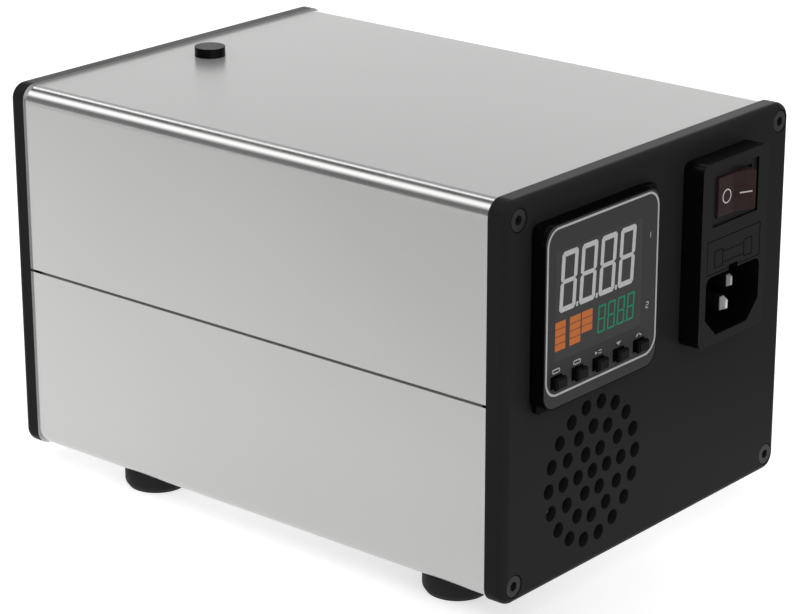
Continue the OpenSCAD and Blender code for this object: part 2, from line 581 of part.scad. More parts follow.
neutral_route = [[34.5, 38, 62.85], [34.5, 46, 62.4], [36, 56, 54], [33, 68, 44], [14, 71, 40], [-4, 70, 36], [-8, 67.5, 30], [-8, 67.5, 14]];
earth_route = [[27.5, 38, 58.85], [27.5, 43, 58.4], [22, 46, 48], [6, 44, 36], [-8, 37, 30], [-12, 30, 24], [-12, 30, 16]];
module mains_wires() color([0.45, 0.22, 0.1]) at_panel() { sweep(live_route, 2.4); sweep(neutral_route, 2.4); }
module earth_wire() color([0.3, 0.6, 0.1]) at_panel() sweep(earth_route, 2.4);

front_plate();
rear_plate();
upper_shell();
lower_shell();
plate_screws();
front_left_foot();
front_right_foot();
rear_left_foot();
rear_right_foot();
foot_screws();
controller_case();
controller_face();
menu_key();
shift_key();
run_key();
down_key();
up_key();
display_board();
control_board();
controller_terminals();
controller_clamp();
clamp_screws();
inlet_housing();
power_pins();
earth_pin();
fuse_drawer();
fuse();
power_rocker();
rocker_pin();
fan_frame();
fan_rotor();
fan_shaft();
fan_screws();
bulkhead();
relay_base();
solid_state_relay();
relay_screws();
terminal_strip();
ground_stud();
oven_liner();
insulation_wrap();
insulation_board();
upper_heaters();
lower_heaters();
heater_brackets();
thermocouple();
left_rail();
right_rail();
drawer_front();
drawer_plug();
board_tray();
tray_screws();
handle_bar();
handle_posts();
handle_screws();
drawer_gasket();
start_button();
button_switch();
mains_wires();
earth_wire();
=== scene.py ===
import bpy, bmesh, math
from mathutils import Vector, Matrix


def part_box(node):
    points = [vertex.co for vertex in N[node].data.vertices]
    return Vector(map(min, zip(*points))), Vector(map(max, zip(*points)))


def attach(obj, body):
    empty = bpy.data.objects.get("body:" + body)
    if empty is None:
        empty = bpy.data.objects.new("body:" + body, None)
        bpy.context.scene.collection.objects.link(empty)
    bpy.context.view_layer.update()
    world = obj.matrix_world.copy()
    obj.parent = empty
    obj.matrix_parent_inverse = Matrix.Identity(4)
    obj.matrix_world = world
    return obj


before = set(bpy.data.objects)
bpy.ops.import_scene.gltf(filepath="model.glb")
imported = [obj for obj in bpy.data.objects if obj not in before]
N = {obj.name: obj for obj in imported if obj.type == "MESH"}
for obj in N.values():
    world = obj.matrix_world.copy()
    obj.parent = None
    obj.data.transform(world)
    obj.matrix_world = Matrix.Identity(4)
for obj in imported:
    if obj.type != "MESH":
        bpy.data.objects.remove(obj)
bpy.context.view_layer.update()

# ---------------------------------------------------------------- frame
ROCKER_LEAN = 12.0                 # degrees
ROCKER_END = 6.75                  # raised ends of the rocker from its pivot, mm
REACH = ROCKER_END * (math.sin(math.radians(ROCKER_LEAN)) + math.cos(math.radians(ROCKER_LEAN))) + 1.15
YP = (REACH - 214.1) / 2           # panel face along Y, mm
FOOT = 6.0                         # bottom of the end plates over the floor, mm


def P(x, y, z):
    """Millimetres from the panel's face and foot line to metres in the row frame."""
    return Vector((x / 1000.0, (y + YP) / 1000.0, (z + FOOT) / 1000.0))


# ---------------------------------------------------------------- materials
# A material's roughness stays on one side of 0.274, where Cycles changes its denoising passes: a range that
# crosses it leaves marks along the crossing.
def new_mat(name):
    m = bpy.data.materials.new(name)
    m.use_nodes = True
    nt = m.node_tree
    bsdf = next(n for n in nt.nodes if n.type == "BSDF_PRINCIPLED")
    return m, nt, bsdf


def node(nt, kind, **props):
    n = nt.nodes.new(kind)
    for k, v in props.items():
        setattr(n, k, v)
    return n


def coords(nt, scale=(1, 1, 1)):
    tc = node(nt, "ShaderNodeTexCoord")
    mp = node(nt, "ShaderNodeMapping")
    mp.inputs["Scale"].default_value = scale
    nt.links.new(tc.outputs["Object"], mp.inputs["Vector"])
    return mp.outputs["Vector"]


def noise(nt, vec, scale, detail=4.0, rough=0.55):
    n = node(nt, "ShaderNodeTexNoise")
    n.inputs["Scale"].default_value = scale
    n.inputs["Detail"].default_value = detail
    n.inputs["Roughness"].default_value = rough
    nt.links.new(vec, n.inputs["Vector"])
    return n.outputs["Fac"]


def ramp(nt, fac, stops):
    r = node(nt, "ShaderNodeValToRGB")
    e = r.color_ramp.elements
    while len(e) > 1:
        e.remove(e[-1])
    e[0].position, e[0].color = stops[0][0], (*stops[0][1], 1)
    for pos, col in stops[1:]:
        x = e.new(pos)
        x.color = (*col, 1)
    nt.links.new(fac, r.inputs["Fac"])
    return r.outputs["Color"]


def map_range(nt, fac, a, b, lo=0.35, hi=0.65):
    r = node(nt, "ShaderNodeMapRange")
    r.inputs["From Min"].default_value = lo
    r.inputs["From Max"].default_value = hi
    r.inputs["To Min"].default_value = a
    r.inputs["To Max"].default_value = b
    nt.links.new(fac, r.inputs["Value"])
    return r.outputs["Result"]


def bump(nt, bsdf, height, strength, distance):
    b = node(nt, "ShaderNodeBump")
    b.inputs["Strength"].default_value = strength
    b.inputs["Distance"].default_value = distance
    nt.links.new(height, b.inputs["Height"])
    nt.links.new(b.outputs["Normal"], bsdf.inputs["Normal"])


def g(v):
    return (v, v, v)


def surface(name, lo, hi, r_lo, r_hi, metallic=0.0, grain=2500.0, cloud=35.0,
            strength=0.15, distance=0.00005, stretch=(1, 1, 1), coat=0.0, spec=0.5, fleck=0.35):
    """Colour drifts between lo and hi, roughness between r_lo and r_hi, with a fine grain in the normal
    and, by the share fleck, in the colour."""
    m, nt, b = new_mat(name)
    v = coords(nt, stretch)
    fine = noise(nt, v, grain, 3.0)
    broad = noise(nt, v, cloud, 5.0)
    mix = node(nt, "ShaderNodeMix", data_type="FLOAT")
    mix.inputs["Factor"].default_value = fleck
    nt.links.new(broad, mix.inputs["A"])
    nt.links.new(fine, mix.inputs["B"])
    nt.links.new(ramp(nt, mix.outputs["Result"], [(0.3, lo), (0.7, hi)]), b.inputs["Base Color"])
    nt.links.new(map_range(nt, broad, r_lo, r_hi), b.inputs["Roughness"])
    b.inputs["Metallic"].default_value = metallic
    b.inputs["Coat Weight"].default_value = coat
    b.inputs["Specular IOR Level"].default_value = spec
    bump(nt, b, fine, strength, distance)
    return m


MAT = {}
# bead-blasted and clear anodised sheet
MAT["alu"] = surface("satin_anodised_aluminium", (0.485, 0.482, 0.478), (0.515, 0.512, 0.508), 0.20, 0.25, 1.0,
                     grain=5200.0, cloud=14.0, strength=0.10, distance=0.00002)
# the lid's flat top takes the blasting best and is the most matt
MAT["alu_top"] = surface("matt_anodised_aluminium_lid", (0.418, 0.415, 0.413), (0.428, 0.425, 0.423), 0.28, 0.305, 0.58,
                         grain=1400.0, cloud=14.0, strength=0.012, distance=0.00002, spec=0.1, fleck=0.0)
MAT["alu_bar"] = surface("brushed_aluminium_bar", (0.46, 0.46, 0.46), (0.58, 0.58, 0.575), 0.21, 0.268, 1.0,
                         grain=900.0, cloud=60.0, strength=0.12, distance=0.00002, stretch=(0.06, 1, 1))
MAT["black_alu"] = surface("black_anodised_aluminium", g(0.0138), (0.0158, 0.0158, 0.0161), 0.34, 0.42, 0.0,
                           grain=4200.0, cloud=18.0, strength=0.10, distance=0.00002, spec=0.02)
# the plates' milled top edges keep a higher shine than their blasted faces
MAT["black_edge"] = surface("black_anodised_milled_edge", g(0.0138), (0.0158, 0.0158, 0.0161), 0.28, 0.32, 0.0,
                            grain=4200.0, cloud=18.0, strength=0.06, distance=0.00002, spec=0.036)
MAT["steel"] = surface("plain_sheet_steel", (0.42, 0.42, 0.42), (0.55, 0.55, 0.54), 0.28, 0.42, 1.0,
                       grain=700.0, cloud=40.0, strength=0.08, distance=0.00002, stretch=(1, 0.08, 1))
MAT["liner"] = surface("heat_tinted_stainless_liner", (0.36, 0.33, 0.29), (0.56, 0.53, 0.48), 0.28, 0.45, 1.0,
                       grain=800.0, cloud=26.0, strength=0.08, distance=0.00002, stretch=(1, 0.08, 1))
MAT["nickel"] = surface("bright_nickel_plate", (0.70, 0.69, 0.66), (0.82, 0.81, 0.78), 0.14, 0.24, 1.0,
                        grain=1500.0, cloud=90.0, strength=0.05, distance=0.00001)
MAT["black_oxide"] = surface("black_oxide_steel", g(0.016), (0.022, 0.022, 0.0228), 0.34, 0.46, 0.2,
                             grain=2600.0, cloud=120.0, strength=0.10, distance=0.00002, spec=0.2)
MAT["black_plastic"] = surface("black_moulded_plastic", g(0.0018), (0.0026, 0.0026, 0.0028), 0.28, 0.34, 0.0,
                               grain=3000.0, cloud=45.0, strength=0.12, distance=0.00003, spec=0.055)
# painted light: a lighter black than the moulded plastic, for the light falling on the inlet's front
MAT["face_plastic"] = surface("textured_black_plastic_painted_light_front", g(0.0100), (0.0120, 0.0120, 0.0122), 0.36, 0.44, 0.0,
                              grain=3400.0, cloud=45.0, strength=0.18, distance=0.00003, spec=0.05)
MAT["fan_plastic"] = surface("black_fan_plastic", g(0.0030), (0.0052, 0.0052, 0.0054), 0.14, 0.22, 0.0,
                             grain=1600.0, cloud=60.0, strength=0.10, distance=0.00002, spec=0.5)
MAT["bezel"] = surface("black_bezel_plastic", g(0.0012), (0.0020, 0.0020, 0.0022), 0.28, 0.31, 0.0,
                       grain=2600.0, cloud=45.0, strength=0.10, distance=0.00002, spec=0.025)
MAT["key"] = surface("black_key_plastic", g(0.0020), (0.0032, 0.0032, 0.0034), 0.30, 0.40, 0.0,
                     grain=2800.0, cloud=90.0, strength=0.15, distance=0.00002, spec=0.07)
MAT["face"] = surface("dark_grey_controller_face", g(0.036), (0.041, 0.041, 0.0415), 0.48, 0.56, 0.0,
                      grain=3400.0, cloud=30.0, strength=0.08, distance=0.00002, spec=0.05)
MAT["window"] = surface("smoked_display_window", g(0.040), (0.045, 0.045, 0.046), 0.34, 0.42, 0.0,
                        grain=1500.0, cloud=20.0, strength=0.04, distance=0.00001, spec=0.07)
MAT["rubber"] = surface("black_foot_rubber", g(0.0052), g(0.0098), 0.55, 0.72, 0.0,
                        grain=1400.0, cloud=90.0, strength=0.35, distance=0.00006, spec=0.2)
MAT["button"] = surface("black_button_cap", g(0.0012), (0.0020, 0.0020, 0.0022), 0.30, 0.38, 0.0,
                        grain=2400.0, cloud=120.0, strength=0.08, distance=0.00003, spec=0.06)
MAT["pcb"] = surface("green_circuit_board", (0.010, 0.085, 0.035), (0.018, 0.12, 0.05), 0.3, 0.4, 0.0,
                     grain=500.0, cloud=160.0, strength=0.1, distance=0.00003, coat=0.3)
MAT["ceramic"] = surface("white_steatite_ceramic", (0.70, 0.67, 0.60), (0.78, 0.75, 0.69), 0.45, 0.6, 0.0,
                         grain=1500.0, cloud=60.0, strength=0.2, distance=0.00004)
MAT["brass"] = surface("plain_brass", (0.58, 0.40, 0.16), (0.72, 0.52, 0.24), 0.28, 0.36, 1.0,
                       grain=1500.0, cloud=80.0, strength=0.1, distance=0.00002)
MAT["wire_brown"] = surface("brown_wire_insulation", (0.075, 0.028, 0.012), (0.11, 0.042, 0.02), 0.35, 0.45, 0.0,
                            grain=900.0, cloud=70.0, strength=0.1, distance=0.00002)
MAT["wire_earth"] = surface("green_yellow_wire_insulation", (0.05, 0.24, 0.03), (0.55, 0.5, 0.03), 0.35, 0.45, 0.0,
                            grain=900.0, cloud=160.0, strength=0.1, distance=0.00002)
MAT["white_ink"] = surface("pale_grey_panel_ink", g(0.34), g(0.40), 0.5, 0.6, 0.0,
                           grain=4000.0, cloud=200.0, strength=0.1, distance=0.00001, spec=0.2)
MAT["rocker_ink"] = surface("white_rocker_ink", (0.50, 0.48, 0.47), (0.60, 0.58, 0.57), 0.5, 0.6, 0.0,
                            grain=4000.0, cloud=200.0, strength=0.1, distance=0.00001, spec=0.2)


def fibre(name, lo, hi):
    """Pressed ceramic fibre: short matted strands."""
    m, nt, b = new_mat(name)
    v = coords(nt)
    wave = node(nt, "ShaderNodeTexVoronoi", feature="DISTANCE_TO_EDGE")
    wave.inputs["Scale"].default_value = 420.0
    nt.links.new(v, wave.inputs["Vector"])
    n1 = noise(nt, v, 260.0, 8.0, 0.7)
    mix = node(nt, "ShaderNodeMix", data_type="FLOAT")
    mix.inputs["Factor"].default_value = 0.4
    nt.links.new(n1, mix.inputs["A"])
    nt.links.new(wave.outputs["Distance"], mix.inputs["B"])
    nt.links.new(ramp(nt, n1, [(0.3, lo), (0.75, hi)]), b.inputs["Base Color"])
    b.inputs["Roughness"].default_value = 0.92
    bump(nt, b, mix.outputs["Result"], 0.6, 0.0004)
    return m


MAT["fibre"] = fibre("ceramic_fibre_board", (0.62, 0.59, 0.52), (0.80, 0.78, 0.72))
MAT["gasket"] = fibre("woven_glass_gasket", (0.16, 0.15, 0.13), (0.30, 0.28, 0.25))


def glow(name, col, emit, rough=0.5):
    """A lit display segment: a diffuse print with a little light of its own, slightly uneven."""
    m, nt, b = new_mat(name)
    v = coords(nt)
    n1 = noise(nt, v, 900.0, 3.0)
    lo = tuple(c * 0.93 for c in col)
    c = ramp(nt, n1, [(0.3, lo), (0.7, col)])
    nt.links.new(c, b.inputs["Base Color"])
    nt.links.new(c, b.inputs["Emission Color"])
    b.inputs["Emission Strength"].default_value = emit
    b.inputs["Roughness"].default_value = rough
    b.inputs["Specular IOR Level"].default_value = 0.06
    return m


MAT["seg_white"] = glow("lit_segment_pale_grey", (0.385, 0.385, 0.388), 0.12)
MAT["seg_green"] = glow("lit_segment_green", (0.012, 0.185, 0.090), 0.15)
MAT["seg_orange"] = glow("lit_segment_orange", (0.40, 0.115, 0.030), 0.15)


def red_rocker():
    m, nt, b = new_mat("dark_red_rocker_plastic")
    v = coords(nt)
    broad = noise(nt, v, 130.0, 4.0)
    fine = noise(nt, v, 2600.0, 2.0)
    nt.links.new(ramp(nt, broad, [(0.3, (0.024, 0.0135, 0.0138)), (0.7, (0.031, 0.0175, 0.0178))]), b.inputs["Base Color"])
    nt.links.new(map_range(nt, broad, 0.30, 0.40), b.inputs["Roughness"])
    b.inputs["Subsurface Weight"].default_value = 0.15
    b.inputs["Subsurface Radius"].default_value = (0.002, 0.0004, 0.0004)
    b.inputs["Specular IOR Level"].default_value = 0.055
    bump(nt, b, fine, 0.1, 0.00002)
    return m


MAT["rocker"] = red_rocker()


def pin(name, tip, back):
    """A contact pin: bright nickel on its bevelled tip, with painted shade behind it, near black, for the unlit socket
    it sits in (tip and back are along Y, mm).
    """
    m, nt, b = new_mat(name)
    v = coords(nt)
    sep = node(nt, "ShaderNodeSeparateXYZ")
    nt.links.new(v, sep.inputs["Vector"])
    broad = noise(nt, v, 240.0, 3.0)
    y0, y1 = P(0, tip, 0).y, P(0, back, 0).y
    painted_socket_shade = map_range(nt, sep.outputs["Y"], 0.0, 1.0, y0, y1)
    mix = node(nt, "ShaderNodeMath", operation="MULTIPLY_ADD")
    nt.links.new(broad, mix.inputs[0])
    mix.inputs[1].default_value = 0.08
    nt.links.new(painted_socket_shade, mix.inputs[2])
    # painted shade: the colour falls to near black behind the tip, for the shade inside the socket
    nt.links.new(ramp(nt, mix.outputs["Value"], [(0.0, g(0.80)), (0.72, (0.74, 0.73, 0.70)), (0.88, g(0.010)), (1.0, g(0.006))]),
                 b.inputs["Base Color"])
    nt.links.new(map_range(nt, mix.outputs["Value"], 0.30, 0.60, 0.5, 1.0), b.inputs["Roughness"])
    b.inputs["Metallic"].default_value = 0.5
    b.inputs["Specular IOR Level"].default_value = 0.15
    return m


MAT["pin"] = pin("nickel_power_pin", -1.3, 0.15)
MAT["pin_earth"] = pin("nickel_earth_pin", -4.65, -2.5)


def quartz():
    m, nt, b = new_mat("frosted_quartz_tube")
    v = coords(nt)
    broad = noise(nt, v, 90.0, 4.0)
    nt.links.new(ramp(nt, broad, [(0.3, (0.78, 0.76, 0.72)), (0.7, (0.88, 0.87, 0.84))]), b.inputs["Base Color"])
    nt.links.new(map_range(nt, broad, 0.12, 0.22), b.inputs["Roughness"])
    b.inputs["Transmission Weight"].default_value = 0.75
    b.inputs["IOR"].default_value = 1.45
    return m


MAT["quartz"] = quartz()

ASSIGN = {
    "alu": ["upper_shell", "lower_shell", "relay_base"],
    "alu_bar": ["handle_bar"],
    "black_alu": ["front_plate", "rear_plate", "drawer_front"],
    "black_oxide": ["plate_screws", "clamp_screws"],
    "bezel": ["controller_case"],
    "face": ["controller_face"],
    "key": ["menu_key", "shift_key", "run_key", "down_key", "up_key"],
    "black_plastic": ["inlet_housing", "fuse_drawer", "controller_terminals", "controller_clamp",
                      "solid_state_relay", "button_switch"],
    "fan_plastic": ["fan_frame", "fan_rotor"],
    "button": ["start_button"],
    "rocker": ["power_rocker"],
    "rubber": ["front_left_foot", "front_right_foot", "rear_left_foot", "rear_right_foot"],
    "pin": ["power_pins"],
    "pin_earth": ["earth_pin"],
    "nickel": ["fuse", "relay_screws", "rocker_pin", "handle_posts"],
    "steel": ["foot_screws", "fan_shaft", "fan_screws", "bulkhead", "thermocouple", "tray_screws",
              "handle_screws"],
    "liner": ["oven_liner", "heater_brackets", "left_rail", "right_rail", "board_tray"],
    "pcb": ["display_board", "control_board"],
    "ceramic": ["terminal_strip"],
    "quartz": ["upper_heaters", "lower_heaters"],
    "brass": ["ground_stud"],
    "fibre": ["insulation_wrap", "insulation_board", "drawer_plug"],
    "gasket": ["drawer_gasket"],
    "wire_brown": ["mains_wires"],
    "wire_earth": ["earth_wire"],
}
todo = set(N)
for key, names in ASSIGN.items():
    for n in names:
        o = N[n]
        o.data.materials.clear()
        o.data.materials.append(MAT[key])
        for poly in o.data.polygons:
            poly.material_index = 0
        todo.discard(n)
assert not todo, todo
for n in ("front_plate", "rear_plate"):
    me = N[n].data
    me.materials.append(MAT["black_edge"])
    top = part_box(n)[1][2] - 0.004
    for poly in me.polygons:
        if poly.normal.z > 0.97 and poly.center.z > top:
            poly.material_index = 1
# the rear plate's inner face is left bare, so that it bonds to the case
me = N["rear_plate"].data
me.materials.append(MAT["alu"])
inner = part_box("rear_plate")[0][1] + 0.0003
for poly in me.polygons:
    if poly.normal.y < -0.99 and poly.center.y < inner:
        poly.material_index = 2
me = N["upper_shell"].data
me.materials.append(MAT["alu_top"])
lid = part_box("upper_shell")[1][2] - 0.0003
for poly in me.polygons:
    if poly.normal.z > 0.999 and poly.center.z > lid:
        poly.material_index = 1
# the inlet's front has a fine moulded texture and a painted lighter black for the light on it; its sides and its socket
# are smooth, in a darker black that is painted shade
for n in ("inlet_housing", "fuse_drawer"):
    me = N[n].data
    me.materials.append(MAT["face_plastic"])
    near = P(0, -3.2, 0).y
    for poly in me.polygons:
        if poly.normal.y < -0.9 and poly.center.y < near:
            poly.material_index = 1


def soften(name, width, segments=2, angle=32.0):
    """Small radius along a CAD node's hard edges, as a moulded or machined edge has."""
    o = N[name]
    w = o.modifiers.new("weld", "WELD")
    w.merge_threshold = 2e-6
    b = o.modifiers.new("edge_radius", "BEVEL")
    b.width = width / 1000.0
    b.segments = segments
    b.limit_method = "ANGLE"
    b.angle_limit = math.radians(angle)
    b.harden_normals = False
    b.use_clamp_overlap = True
    b.miter_outer = "MITER_ARC"


for n, w in {"controller_case": 0.12, "controller_face": 0.10, "menu_key": 0.18, "shift_key": 0.18,
             "run_key": 0.18, "down_key": 0.18, "up_key": 0.18, "inlet_housing": 0.14,
             "fuse_drawer": 0.12, "power_rocker": 0.22, "start_button": 0.3, "drawer_front": 0.25,
             "board_tray": 0.2, "handle_bar": 0.3}.items():
    soften(n, w)


# ---------------------------------------------------------------- mesh helpers
def mesh_piece(name, verts, faces, mat, body, smooth=False):
    me = bpy.data.meshes.new(name)
    me.from_pydata([tuple(v) for v in verts], [], faces)
    me.validate()
    me.update()
    bm = bmesh.new()
    bm.from_mesh(me)
    bmesh.ops.recalc_face_normals(bm, faces=bm.faces)
    bm.to_mesh(me)
    bm.free()
    o = bpy.data.objects.new(name, me)
    bpy.context.scene.collection.objects.link(o)
    me.materials.append(mat)
    if smooth:
        for p in me.polygons:
            p.use_smooth = True
    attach(o, body)
    return o


class Prints:
    """Flat prints of a given film thickness on the panel-facing side of a surface, gathered into one mesh."""

    def __init__(self, y, film=0.05):
        self.y, self.film, self.v, self.f = y, film, [], []

    def loop(self, pts):
        """A filled outline of (x, z) points, in mm, anticlockwise or clockwise."""
        n, k = len(pts), len(self.v)
        for x, z in pts:
            self.v.append(P(x, self.y + 0.01, z))
        for x, z in pts:
            self.v.append(P(x, self.y - self.film, z))
        self.f.append(list(range(k + n, k + 2 * n)))
        self.f.append(list(range(k + n - 1, k - 1, -1)))
        for i in range(n):
            j = (i + 1) % n
            self.f.append([k + i, k + j, k + n + j, k + n + i])

    def band(self, outer, inner):
        """The strip between two outlines with the same number of points."""
        n, k = len(outer), len(self.v)
        for ring in (outer, inner):
            for d in (0.01, -self.film):
                for x, z in ring:
                    self.v.append(P(x, self.y + d, z))
        ob, of, ib, inf = k, k + n, k + 2 * n, k + 3 * n
        for i in range(n):
            j = (i + 1) % n
            self.f += [[of + i, of + j, inf + j, inf + i], [ib + i, ib + j, ob + j, ob + i],
                       [ob + i, ob + j, of + j, of + i], [inf + i, inf + j, ib + j, ib + i]]

    def stroke(self, pts, w, closed=False):
        """A line of width w through the points, one quad a stretch."""
        m = len(pts)
        for i in range(m if closed else m - 1):
            a, b = pts[i], pts[(i + 1) % m]
            dx, dz = b[0] - a[0], b[1] - a[1]
            d = math.hypot(dx, dz) or 1.0
            ux, uz = dx / d * w * 0.5, dz / d * w * 0.5
            self.loop([(a[0] - ux + uz, a[1] - uz - ux), (b[0] + ux + uz, b[1] + uz - ux),
                       (b[0] + ux - uz, b[1] + uz + ux), (a[0] - ux - uz, a[1] - uz + ux)])

    def make(self, name, mat, body):
        return mesh_piece(name, self.v, self.f, mat, body)


def rounded(x0, x1, z0, z1, r, n=8):
    pts = []
    for cx, cz, a0 in ((x1 - r, z1 - r, 0), (x0 + r, z1 - r, 90), (x0 + r, z0 + r, 180), (x1 - r, z0 + r, 270)):
        for i in range(n + 1):
            a = math.radians(a0 + 90.0 * i / n)
            pts.append((cx + r * math.cos(a), cz + r * math.sin(a)))
    return pts


def circle(cx, cz, r, n=32, a0=0.0):
    return [(cx + r * math.cos(a0 + 2 * math.pi * i / n), cz + r * math.sin(a0 + 2 * math.pi * i / n)) for i in range(n)]


SEG = {"0": "abcdef", "1": "bc", "2": "abged", "3": "abgcd", "4": "fgbc", "5": "afgcd", "6": "afgedc", "7": "abc",
       "8": "abcdefg", "9": "abcdfg"}


def digit(pr, x, z, w, h, t, slant, which="8", gap=0.09, cut=0.55):
    """One seven-segment digit with its foot at (x, z); slant is how far its top leans right."""
    def s(u, v):
        return (x + u + slant * v / h, z + v)
    m = h / 2.0
    c = t * cut
    q = gap / 2.0
    parts = {
        "a": [(c, h), (w - c, h), (w - c * 0.45 - q, h - c * 0.45 + q * 0), (w - t - q, h - t), (t + q, h - t), (c * 0.45 + q, h - c * 0.45)],
        "d": [(c, 0), (w - c, 0), (w - c * 0.45 - q, c * 0.45), (w - t - q, t), (t + q, t), (c * 0.45 + q, c * 0.45)],
        "f": [(0, h - c), (c * 0.45 - q * 0, h - c * 0.45 - q), (t, h - t - q), (t, m + t * 0.42 + q), (t * 0.5, m + q), (0, m + t * 0.42 + q)],
        "b": [(w, h - c), (w - c * 0.45, h - c * 0.45 - q), (w - t, h - t - q), (w - t, m + t * 0.42 + q), (w - t * 0.5, m + q), (w, m + t * 0.42 + q)],
        "e": [(0, c), (c * 0.45, c * 0.45 + q), (t, t + q), (t, m - t * 0.42 - q), (t * 0.5, m - q), (0, m - t * 0.42 - q)],
        "c": [(w, c), (w - c * 0.45, c * 0.45 + q), (w - t, t + q), (w - t, m - t * 0.42 - q), (w - t * 0.5, m - q), (w, m - t * 0.42 - q)],
        "g": [(t * 0.5 + q, m), (t + q * 0.5, m + t * 0.42), (w - t - q * 0.5, m + t * 0.42), (w - t * 0.5 - q, m), (w - t - q * 0.5, m - t * 0.42), (t + q * 0.5, m - t * 0.42)],
    }
    for k in SEG[which]:
        pr.loop([s(u, v) for u, v in parts[k]])


FACE_Y = -4.2
# display window let into the face
pr = Prints(FACE_Y, 0.03)
pr.loop(rounded(-47.9, -11.6, 63.6, 92.6, 0.8, 4))
pr.make("display_window", MAT["window"], "case")
# outline around the face
pr = Prints(FACE_Y, 0.06)
pr.band(rounded(-51.35, -4.52, 54.55, 98.7, 4.7, 14), rounded(-50.77, -5.1, 55.13, 98.12, 4.12, 14))
pr.make("face_outline", MAT["white_ink"], "case")
# measured value
pr = Prints(FACE_Y, 0.06)
for i in range(4):
    digit(pr, -46.25 + 8.12 * i, 76.15, 6.65, 15.6, 1.38, 1.05)
for i in range(3):
    x = -39.25 + 8.12 * i
    pr.loop([(x, 76.2), (x + 0.75, 76.2), (x + 0.85, 77.45), (x + 0.1, 77.45)])
pr.make("measured_value_digits", MAT["seg_white"], "case")
# set value
pr = Prints(FACE_Y, 0.06)
for i in range(4):
    digit(pr, -30.15 + 4.1 * i, 66.4, 3.1, 7.3, 0.48, 0.45, gap=0.05)
for i in range(3):
    x = -26.75 + 4.1 * i
    pr.loop([(x, 66.4), (x + 0.34, 66.4), (x + 0.37, 66.8), (x + 0.03, 66.8)])
pr.make("set_value_digits", MAT["seg_green"], "case")
# output level bars
pr = Prints(FACE_Y, 0.06)
for x0, x1, rows in ((-47.65, -43.45, 4), (-41.7, -37.25, 4), (-36.75, -32.3, 3)):
    for r in range(rows):
        zt = 73.95 - 1.93 * r
        pr.loop([(x0, zt - 1.74), (x1, zt - 1.74), (x1, zt), (x0, zt)])
pr.make("output_level_bars", MAT["seg_orange"], "case")
# key marks and the two plain row numbers
pr = Prints(FACE_Y, 0.05)
for cx in (-46.95, -38.35):
    pr.band(rounded(cx - 1.6, cx + 1.6, 60.68, 61.92, 0.6, 8), rounded(cx - 1.27, cx + 1.27, 61.01, 61.59, 0.27, 8))
cx = -29.4
pr.loop([(cx - 1.3, 60.8), (cx - 1.3, 61.8), (cx - 0.3, 61.3)])
pr.stroke([(cx + 0.1, 61.65), (cx + 1.3, 61.65)], 0.22)
pr.stroke([(cx + 0.1, 60.95), (cx + 1.3, 60.95)], 0.22)
cx = -20.75
pr.loop([(cx - 1.0, 61.7), (cx + 1.0, 61.7), (cx, 60.75)])
cx = -12.0
pr.stroke([(cx - 1.0, 60.9), (cx, 61.6), (cx + 1.0, 60.9)], 0.36)
digit(pr, -9.0, 86.2, 1.15, 1.75, 0.24, 0.0, "1", 0.02)
digit(pr, -9.3, 67.5, 1.25, 1.75, 0.24, 0.0, "2", 0.02)
pr.make("panel_marks", MAT["white_ink"], "case")

# rocker marks: a ring and a bar, on the rocker's two leaning faces
RK = Vector((27.3, -1.15, 90.6))
LEAN = math.radians(-ROCKER_LEAN)
HOLLOW = -5.315                    # middle of the rocker's front, from its pivot


def on_rocker(u, w, lift):
    """A point on the rocker's front: u across from its middle, w up, lift off the surface, in mm."""
    x = u
    y = HOLLOW - (ROCKER_END + HOLLOW) * abs(u) / ROCKER_END - lift
    c, s = math.cos(LEAN), math.sin(LEAN)
    return P(RK.x + x * c - y * s, RK.y + x * s + y * c, RK.z + w)


def rocker_mark(name, rings):
    v, f = [], []
    for outer, inner in rings:
        n, k = len(outer), len(v)
        for ring in (outer, inner):
            for lift in (-0.02, 0.05):
                for u, w in ring:
                    v.append(on_rocker(u, w, lift))
        ob, of, ib, inf = k, k + n, k + 2 * n, k + 3 * n
        for i in range(n):
            j = (i + 1) % n
            f += [[of + i, of + j, inf + j, inf + i], [ib + i, ib + j, ob + j, ob + i],
                  [ob + i, ob + j, of + j, of + i], [inf + i, inf + j, ib + j, ib + i]]
    return mesh_piece(name, v, f, MAT["rocker_ink"], "rocker")


rocker_mark("rocker_off_ring", [(circle(-3.0, -0.2, 1.95, 40), circle(-3.0, -0.2, 1.65, 40))])
rocker_mark("rocker_on_bar", [([(1.93, -0.47), (5.67, -0.47), (5.67, -0.13), (1.93, -0.13)],
                               [(2.0, -0.32), (5.6, -0.32), (5.6, -0.28), (2.0, -0.28)])])

# ---------------------------------------------------------------- stage
me = bpy.data.meshes.new("floor")
S = 6.0
me.from_pydata([(-S, -S, 0), (S, -S, 0), (S, S, 0), (-S, S, 0)], [], [(0, 1, 2, 3)])
floor = bpy.data.objects.new("floor", me)
bpy.context.scene.collection.objects.link(floor)
fm, nt, b = new_mat("pale_studio_floor")
v = coords(nt)
tone = ramp(nt, noise(nt, v, 1.2, 2.0), [(0.3, g(0.54)), (0.7, g(0.56))])
nt.links.new(tone, b.inputs["Base Color"])
# painted light: part of the floor's white is its own emission, a painted pool of light that fades towards -X and -Y, in
# front of the object's left side
fade = node(nt, "ShaderNodeVectorMath", operation="DOT_PRODUCT")
nt.links.new(v, fade.inputs[0])
fade.inputs[1].default_value = (0.903, 0.430, 0.0)
own = map_range(nt, fade.outputs["Value"], 0.30, 1.30, -0.259, -0.03)
painted_light_falloff = node(nt, "ShaderNodeMath", operation="ADD")
nt.links.new(own, painted_light_falloff.inputs[0])
nt.links.new(map_range(nt, fade.outputs["Value"], 0.45, 0.0, -0.50, -0.24), painted_light_falloff.inputs[1])
